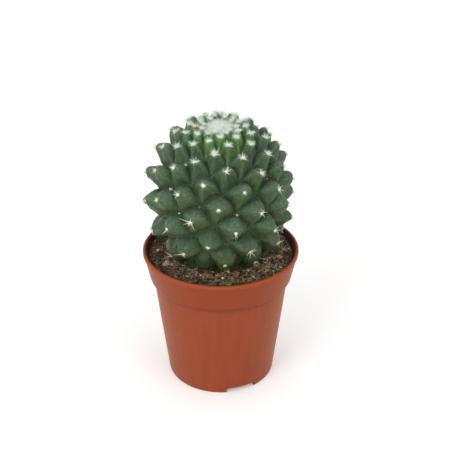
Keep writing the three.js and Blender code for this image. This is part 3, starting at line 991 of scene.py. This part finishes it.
def makeTufts():
    source = random.Random(areole["seed"])
    rows = []
    for each in freeFrames:
        if each["order"] in areole["bare"]:
            continue
        grown = each["age"] ** areole["growthPower"]
        wide, tall = [lerp(*ends, grown) for ends in zip(areole["youngWool"], areole["grownWool"])]
        wide = min(wide * source.uniform(*areole["spread"]), each["size"] * areole["widest"])
        wide *= 1 - areole["lowShrink"] * each["low"]
        size = (wide, wide * source.uniform(*areole["ovalness"]), tall)
        inward = areole["inward"] * (1 - each["age"])
        seat = each["seat"] + (each["out"] * areole["out"] + each["up"] * inward)
        shag = lerp(areole["youngShag"], areole["grownShag"], each["age"])
        rows.append(tuftRow(each, seat, size, shag, each["low"]))
    steps = areole["axilSteps"]
    for each in freeFrames:
        inRange = areole["axilFirst"] <= each["order"] <= areole["axilLast"]
        if not inRange or source.random() < 1 - areole["axilShare"]:
            continue
        r, z = valleyRow(each["order"] - steps)
        turn = radians(steps * spiral["goldenAngle"] - 360 * areole["axilTurns"])
        wide = areole["axilWool"] * source.uniform(*areole["axilSpread"])
        seat = polar(r, each["angle"] + turn, z)
        seat += each["draw"] * source.uniform(*areole["axilHeight"])
        rows.append(tuftRow(each, seat, (wide, wide * 0.6, wide), areole["grownShag"], 0.5))
    mesh = pointsOf("areole_wool", rows, "spread", "out", "shag", "low")
    finish = woolMaterial("areole_wool_white", woolTones["areole"])
    piece = grow("areole_wool", mesh, feltRule("Areole wool", True), wool, finish)
    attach(piece, "root")


spine = {
    "grownLength": 1.6, "youngLength": 2.0, "lowestLength": 3.2, "lengthSpread": 0.25,
    "wear": 0.2, "grownCount": 5, "youngCount": 10, "youngGain": 1.6, "lowLevels": (62, 50),
    "smallTuft": 2.2, "away": 68, "youngAway": 60, "awaySpread": 14, "turnSpread": 16,
    "radius": 0.14, "radiusSpread": (0.8, 1.2), "bend": 0.5, "seatOut": 0.15,
    "clearLevel": 49.7, "seed": 21,
    "hairs": 16, "hairYouth": (0.4, 0.65), "hairLength": 2.5, "hairLengths": (0.5, 1),
    "hairAway": (62, 86), "hairOut": 0.2, "hairRadius": 0.042,
    "old": (206, 196, 150), "young": (240, 246, 236),
}

# Areoles at the front whose spines are set one by one, as (degrees, length), by order on the
# spiral.
frontStars = {
    49: [(100, 0.8), (200, 0.7)],
    54: [(60, 1.0), (200, 0.9), (280, 1.0)],
    57: [(150, 1.7), (200, 1.6), (95, 1.4), (30, 1.5), (265, 1.7)],
    62: [(200, 0.4)],
    67: [(0, 2.1), (35, 1.6), (95, 1.7), (150, 1.5), (215, 1.5), (280, 1.8)],
    70: [(168, 3.9), (85, 2.0), (318, 3.3), (205, 2.6), (250, 1.6), (30, 1.2)],
    75: [(262, 2.4), (285, 1.7), (100, 0.8)],
    78: [(250, 2.5), (280, 1.4), (60, 0.9)],
    80: [(20, 2.4), (340, 1.9), (290, 1.5), (120, 1.0)],
    83: [(90, 0.8)],
    88: [(10, 2.3), (55, 2.3), (120, 1.9), (200, 2.1), (250, 2.3), (310, 2.5)],
    91: [(178, 3.6), (120, 1.8), (60, 1.4), (280, 1.3)],
    93: [(20, 2.5), (70, 1.9), (330, 2.6), (120, 1.5)],
    96: [(70, 0.9)],
    99: [(160, 2.6), (115, 2.9), (200, 2.3), (60, 1.8), (240, 1.6)],
    104: [],
}


def spineRule(values):
    graph, value = geometryRule("Spines", values)
    shape = graph.out("GeometryNodeMeshCone", {
        "Vertices": 5, "Side Segments": 5, "Radius Top": 0.1, "Radius Bottom": 1.0, "Depth": 1.0})
    z = graph.position().split()[2]
    shape = graph.move(shape, "Offset", graph.join(z * z * value["bend"], 0.0, 0.0))
    size = graph.join(graph.named("thick"), graph.named("thick"), graph.named("long"))
    body = graph.place(value["Geometry"], shape, graph.towards(graph.arrow("way")), size)
    graph.finish(body, value["material"])
    return graph


def spineMaterial():
    surface = Surface("spine_cream")
    old = surface.attribute("age")
    return surface.close(
        (old * old * 0.8).tint(spine["young"], spine["old"]), (2400.0, 0.1), (0.45, 0.65), 0.02,
        Subsurface_Weight=0.1, Subsurface_Scale=0.0004)


# A spine's direction: its angle away from the tubercle's own, and its turn round that.
def spineWay(each, away, turned):
    across = each["side"] * cos(turned) + each["up"] * sin(turned)
    return leanTurn @ (each["out"] * cos(away) + sin(away) * across)


def spineRays(each, young, source):
    low = shareOf(each["seat"].z, *spine["lowLevels"])
    youth = min(young * spine["youngGain"], 1)
    count = round(lerp(spine["grownCount"], spine["youngCount"], youth))
    first = source.uniform(0, 360)
    kept = 1 - spine["wear"] * source.random() * each["age"] * (1 - low)
    rays = []
    for i in range(count):
        grown = lerp(spine["grownLength"], spine["lowestLength"], low * source.random())
        length = lerp(grown, spine["youngLength"], youth)
        length *= 1 + source.uniform(-1, 1) * spine["lengthSpread"]
        length *= min(1, each["size"] * spine["smallTuft"]) * kept
        stray = source.uniform(-1, 1) * spine["turnSpread"]
        rays.append((first + 360 * i / count + stray, length))
    return frontStars.get(int(each["order"]), rays)


def makeSpines():
    source = random.Random(spine["seed"])
    rows = []
    for each in freeFrames:
        young = 1 - each["age"]
        usual = lerp(spine["away"], spine["youngAway"], young)
        start = leanMatrix @ (each["seat"] + each["out"] * spine["seatOut"])
        for degrees, length in spineRays(each, young, source):
            away = radians(usual + source.uniform(-1, 1) * spine["awaySpread"])
            way = spineWay(each, away, radians(degrees))
            if (start + way * length * mm).z < spine["clearLevel"] * mm:
                continue
            thick = spine["radius"] * mm * source.uniform(*spine["radiusSpread"])
            rows.append({"at": start, "way": way, "long": length * mm, "thick": thick,
                         "age": each["age"]})
        start = leanMatrix @ (each["seat"] + each["out"] * spine["hairOut"])
        longest = spine["hairLength"] * mm
        hairy = shareOf(young, *spine["hairYouth"]) * min(each["size"] * 2, 1)
        for i in range(round(spine["hairs"] * hairy)):
            away = radians(source.uniform(*spine["hairAway"]))
            way = spineWay(each, away, source.uniform(0, 2 * pi))
            long = longest * source.uniform(*spine["hairLengths"]) * min(each["size"] * 1.6, 1)
            rows.append({"at": start, "way": way, "long": long,
                         "thick": spine["hairRadius"] * mm, "age": 0.0})
    mesh = pointsOf("spines", rows, "way", "long", "thick", "age")
    values = {"bend": spine["bend"]}
    piece = grow("spines", mesh, spineRule(values), values, spineMaterial())
    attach(piece, "root")
    print("spines", len(rows))


# The felted cushion over the growing point.
crown = {
    "radius": 5.3, "offset": (0.6, 0.5), "bottom": 93.5, "rimLevel": 95, "top": 96.9, "neck": 0.7,
    "lump": 0.22, "rings": 18, "sides": 72, "combLevel": 93.6, "topShag": 0.7, "rimShag": 1.2,
    "felt": {"fibresPerArea": 13.0, "fibreLength": 1.9, "fibreRadius": 0.06, "stray": 0.55,
             "lump": 0.4},
}


def makeCrown():
    profile = [(0, crown["bottom"]), (crown["radius"] * crown["neck"], crown["bottom"])]
    for i in range(crown["rings"]):
        turn = pi / 2 * i / crown["rings"]
        rise = (crown["top"] - crown["rimLevel"]) * sin(turn)
        profile.append((crown["radius"] * cos(turn), crown["rimLevel"] + rise))
    profile.append((0, crown["top"]))
    points, faces = revolve(profile, crown["sides"])
    shift = Vector((*crown["offset"], 0))
    for point in points:
        lump = sin(2 * point.x) * cos(2 * point.y)
        if point.z > crown["rimLevel"]:
            point.z += crown["lump"] * lump
    middle = Vector((0, 0, crown["combLevel"]))
    mesh = meshOf("crown_felt", [leanMatrix @ (point + shift) for point in points], faces, {
        "comb": [(leanTurn @ (point - middle)).normalized() for point in points],
        "shag": [lerp(crown["topShag"], crown["rimShag"], point.xy.length / crown["radius"])
                 for point in points],
        "low": [0.0] * len(points)})
    faceOutward(mesh)
    finish = woolMaterial("crown_wool_white", woolTones["crown"])
    values = {**wool, **crown["felt"]}
    piece = grow("crown_felt", mesh, feltRule("Crown felt", False), values, finish)
    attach(piece, "root")
    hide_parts("crown_wool")


makeTufts()
makeSpines()
makeCrown()
print("stage: wool and spines")


# Soil

soil = {
    "edgeLevel": 47.7, "centreLevel": 51, "lumpHeight": 0.25, "lumpWave": 0.55,
    "holeTip": (0, 35.4), "holeBend": (11.6, 40.4), "holeRadius": 13.4, "holeLevel": 41,
    "wallGap": 0.4, "floorGap": 0.3, "bareRim": 0.5, "rings": 44, "sides": 220,
    "roughness": 0.28,
    "peat": [(42, 35, 23), (92, 76, 57)], "grains": [(118, 98, 72), (92, 58, 38)],
    # A darker tone for the painted shadow of the pot wall, within the reach from the middle, and
    # for damp blotches.
    "shadowAndDamp": (46, 38, 26), "shadowAndDampShare": 0.5, "wallShadowReach": (24.5, 28.5),
}


def soilLevel(x, y):
    out = min(hypot(x, y) / potInnerRadius(pot["height"]), 1)
    mound = soil["edgeLevel"] + (soil["centreLevel"] - soil["edgeLevel"]) * (1 - out * out)
    u, v = soil["lumpWave"] * x, soil["lumpWave"] * y
    lumps = sin(u + 1) * cos(v) + sin(2 * (u - v)) / 2
    return mound + soil["lumpHeight"] * lumps * (1 - out ** 8)


# Darkens a colour with a painted shadow of the pot wall, in a ring near it and mostly on the left,
# and where the soil is damp, in blotches.
def shadowAndDampGroup():
    inputs = {"Color": "Color", "Amount": "Float"}
    graph, value = nodeGroup("Damp", "ShaderNodeTree", inputs, {"Color": "Color"})
    place = graph.out("ShaderNodeTexCoord", output="Object")
    x, y = place.split()[:2]
    # Painted shadow of the pot wall, in a ring near it and wider on the left, and damp in
    # blotches.
    reach = (x * x + y * y) ** 0.5 - x * 0.1 + graph.noise(place, 140.0) * 0.009
    blotch = graph.noise(place + 0.05, 95.0).step(0.56, 0.68)
    wall = reach.step(*metres(soil["wallShadowReach"]))
    shadowAndDamp = graph.math("MAXIMUM", wall, blotch) * value["Amount"]
    graph.add("NodeGroupOutput", {"Color": shadowAndDamp.tint(value["Color"], soil["shadowAndDamp"])})
    return graph.tree


shadowAndDamp = shadowAndDampGroup()


def shadowedAndDamped(surface, color):
    inputs = {"Color": color, "Amount": soil["shadowAndDampShare"]}
    return surface.out("ShaderNodeGroup", inputs, node_tree=shadowAndDamp)


def soilMaterial():
    surface = Surface("soil_peat")
    color = surface.cloud(260.0, 4.0).step(0.35, 0.68).tint(*soil["peat"])
    inputs = {"Vector": surface.place, "Scale": 2300.0}
    pick = surface.out("ShaderNodeTexVoronoi", inputs, 1).split()[0]
    for start, grains in zip((0.78, 0.9), soil["grains"]):
        color = pick.step(start, start + 0.02).tint(color, grains)
    # The bed gets the painted shadow of the pot wall and the damp blotches.
    return surface.close(shadowedAndDamped(surface, color), (1800.0, 0.3), (0.8, 1.0), 0.5,
                         Specular_IOR_Level=0.2)


def makeSoilBed():
    floor = pot["footHeight"] + pot["wall"] + soil["floorGap"]
    brim = potInnerRadius(soil["edgeLevel"]) - soil["wallGap"]
    # Points at the pot's height are the surface, and get their own level below.
    profile = [soil["holeTip"], soil["holeBend"], (soil["holeRadius"], soil["holeLevel"])]
    profile += [(lerp(soil["holeRadius"], brim, i / soil["rings"]), pot["height"])
                for i in range(soil["rings"] + 1)]
    profile += [(potInnerRadius(z) - soil["wallGap"], z)
                for z in (pot["bandFootLevel"], pot["shoulderLevel"], floor)]
    points, faces = revolve(profile + [(0, floor)], soil["sides"])
    loose = []
    for point in points:
        top = point.z == pot["height"]
        loose.append(1.0 if top and point.xy.length < brim - soil["bareRim"] else 0.0)
        if top:
            point.z = soilLevel(point.x, point.y)
            point.z += soil["roughness"] * noise.fractal(point * 0.9, 0.8, 2.0, 4)
    piece = solidPiece("soil_bed", points, faces, soilMaterial(), {"loose": loose})
    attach(piece, "root")
    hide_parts("soil")
    return piece.data


crumb = {"patchScale": 160.0, "patchiness": (0.3, 0.62), "tilt": 0.4, "turn": 6.28,
         "dentScale": 1700.0, "mottle": (2200.0, 0.22), "roughness": (0.75, 0.95)}


# Crumbs of one sort scattered over the soil: each is a ball squeezed, turned and dented by noise.
def crumbRule(values):
    graph, value = geometryRule("Crumbs", values)
    patchy = graph.noise(graph.position(), crumb["patchScale"]).step(*crumb["patchiness"])
    loose = graph.math("GREATER_THAN", graph.named("loose"), 0.9)
    inputs = {"Geometry": value["Geometry"], "Selection": loose}
    area = graph.out("GeometryNodeSeparateGeometry", inputs, domain="FACE")
    density = value["perArea"] * perSquareMetre * patchy
    points = graph.scatter(area, density, value["seed"])[0]
    points = graph.store(points, "pick", graph.random(0.0, 1.0, value["seed"]))
    ball = graph.out("GeometryNodeMeshIcoSphere", {
        "Radius": 1.0, "Subdivisions": value["detail"]})
    tilt = crumb["tilt"]
    turned = graph.randomArrow((-tilt, -tilt, 0.0), (tilt, tilt, crumb["turn"]), value["seed"])
    share = graph.random(0.0, 1.0, value["seed"] + 5)
    size = (share * share * share).between(value["smallest"], value["largest"]) * (mm / 2)
    squeezed = graph.join(size * value["stretch"], size, size * value["flatness"])
    body = graph.place(points, ball, turned, squeezed)
    dents = graph.noise(graph.position(), crumb["dentScale"], 2.0, 1) - 0.5
    dents = dents * (value["dent"] * mm)
    graph.finish(graph.move(body, "Offset", dents), value["material"], smooth=False)
    return graph


# Each tone is used from its share of the crumbs on.
crumbSorts = {
    "soil_peat_crumbs": {
        "values": {"perArea": 2.6, "smallest": 0.4, "largest": 1.5, "stretch": 1.3,
                   "flatness": 0.7, "dent": 0.4, "detail": 1, "seed": 31},
        "tones": [(0, (40, 32, 22)), (0.3, (62, 50, 37)), (0.55, (86, 70, 53)),
                  (0.8, (114, 94, 74))],
    },
    "soil_pale_grit": {
        "values": {"perArea": 5.6, "smallest": 0.3, "largest": 0.8, "stretch": 1.15,
                   "flatness": 0.8, "dent": 0.3, "detail": 1, "seed": 32},
        "tones": [(0, (150, 126, 92)), (0.25, (176, 150, 112)), (0.45, (122, 114, 62)),
                  (0.65, (150, 104, 84)), (0.82, (196, 178, 142)), (0.96, (224, 216, 196))],
    },
    "soil_tan_grit": {
        "values": {"perArea": 5.0, "smallest": 0.25, "largest": 0.6, "stretch": 1.2,
                   "flatness": 0.8, "dent": 0.25, "detail": 1, "seed": 37},
        "tones": [(0, (122, 108, 76)), (0.3, (146, 128, 94)), (0.55, (110, 108, 68)),
                  (0.75, (160, 132, 110)), (0.9, (190, 182, 134))],
    },
    "soil_bark_chips": {
        "values": {"perArea": 0.3, "smallest": 0.6, "largest": 1.8, "stretch": 1.9,
                   "flatness": 0.4, "dent": 0.5, "detail": 2, "seed": 33},
        "tones": [(0, (86, 50, 34)), (0.35, (104, 62, 44)), (0.6, (66, 40, 28)),
                  (0.85, (126, 84, 62))],
    },
}


def makeSoil():
    bed = makeSoilBed()
    for name, sort in crumbSorts.items():
        surface = Surface(name + "_tones")
        # The crumbs get the same painted shadow of the pot wall and damp blotches.
        color = shadowedAndDamped(surface, surface.pick(surface.attribute("pick"), sort["tones"]))
        finish = surface.close(color, crumb["mottle"], crumb["roughness"], 0.1,
                               Specular_IOR_Level=0.25)
        piece = grow(name, bed.copy(), crumbRule(sort["values"]), sort["values"], finish)
        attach(piece, "root")
        print(name, len(piece.data.polygons))


stone = {"detail": 4, "rise": 0.25, "dent": 0.24, "dentScale": 1.3, "patches": 0.72}

# The few larger things that lie on the soil: place in plan, half sizes, turn and tone.
stones = {
    "pebble_left": [(-18.2, -10.6), (1.7, 1.2, 1.0), 35, (154, 138, 114)],
    "lump_left": [(-14.6, -11.6), (1.5, 1.1, 0.8), 10, (96, 78, 64)],
    "pebble_right": [(20.2, -6.4), (1.1, 0.9, 0.8), -20, (182, 158, 104)],
    "flake_front": [(-2.7, -23.3), (1.6, 0.8, 0.6), 8, (86, 96, 62)],
    "flake_near": [(2.1, -23.3), (1.7, 0.8, 0.6), -8, (96, 108, 74)],
    "chip_front": [(-1.4, -21.8), (1.3, 0.5, 0.4), 15, (150, 106, 94)],
    "lump_front": [(12.6, -18.4), (1.1, 0.8, 0.7), 70, (104, 72, 52)],
    "pebble_back": [(-12.3, 18.1), (1.7, 1.2, 0.9), 120, (150, 132, 112)],
    "lump_back": [(16.9, 13.9), (1.3, 1.0, 0.8), 50, (92, 74, 60)],
    "perlite": [(0.8, -20.4), (0.6, 0.5, 0.45), 0, (236, 232, 222)],
    "perlite_left": [(-22.0, -1.5), (0.7, 0.45, 0.4), 40, (216, 206, 190)],
}


def makeStones():
    ball = bmesh.new()
    bmesh.ops.create_icosphere(ball, subdivisions=stone["detail"], radius=1)
    ball.verts.index_update()
    faces = [[vertex.index for vertex in face.verts] for face in ball.faces]
    for name, (place, halves, degrees, color) in stones.items():
        turn = Matrix.Rotation(radians(degrees), 3, "Z")
        seat = Vector((*place, soilLevel(*place) + stone["rise"] * halves[2]))
        points = []
        for vertex in ball.verts:
            lump = noise.fractal(vertex.co * stone["dentScale"] + seat, 0.9, 2.0, 4)
            point = vertex.co * (1 + stone["dent"] * lump)
            points.append(seat + turn @ Vector([c * half for c, half in zip(point, halves)]))
        surface = Surface("soil_" + name + "_stone")
        patches = surface.cloud(900.0, 4.0).step(0.4, 0.7)
        color = patches.tint(color, [part * stone["patches"] for part in color])
        finish = surface.close(color, (3000.0, 0.1), (0.7, 0.9), 0.1)
        piece = solidPiece("soil_" + name, points, faces, finish)
        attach(piece, "root")
    ball.free()


# A dry root fibre on the soil: places in plan with their heights above it.
fibre = {
    "path": [(11.5, -12.1, 0.3), (11.9, -10.6, 0.9), (12.6, -9.9, 1.0), (14.2, -9.9, 0.8),
             (16.2, -9.4, 0.4)],
    "radius": 0.16, "sides": 8, "steps": 8, "tone": (206, 196, 176),
}


def makeFibre():
    knots = [Vector((x, y, soilLevel(x, y) + z)) for x, y, z in fibre["path"]]
    spots = []
    for i in range(len(knots) - 1):
        a, b, c, d = [knots[min(max(i + k, 0), len(knots) - 1)] for k in (-1, 0, 1, 2)]
        for k in range(fibre["steps"]):
            t = k / fibre["steps"]
            spots.append(0.5 * (2 * b + (c - a) * t + (2 * a - 5 * b + 4 * c - d) * t * t
                                + (3 * b - a - 3 * c + d) * t ** 3))
    spots.append(knots[-1])
    rings = [spots[:1]]
    for i, spot in enumerate(spots):
        along = (spots[min(i + 1, len(spots) - 1)] - spots[max(i - 1, 0)]).normalized()
        across = along.cross(Vector((0, 0, 1))).normalized()
        over = across.cross(along)
        radius = fibre["radius"] * (1 - 0.6 * i / len(spots)) * (1 + 0.2 * noise.noise(spot))
        turns = [2 * pi * k / fibre["sides"] for k in range(fibre["sides"])]
        rings.append([spot + (across * cos(turn) + over * sin(turn)) * radius
                      for turn in turns])
    points, faces = skinOver(rings + [spots[-1:]])
    finish = Surface("soil_root_fibre_pale").close(fibre["tone"], (2600.0, 0.2), (0.6, 0.8), 0.05)
    piece = solidPiece("soil_root_fibre", points, faces, finish)
    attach(piece, "root")


makeSoil()
makeStones()
makeFibre()
print("stage: soil")
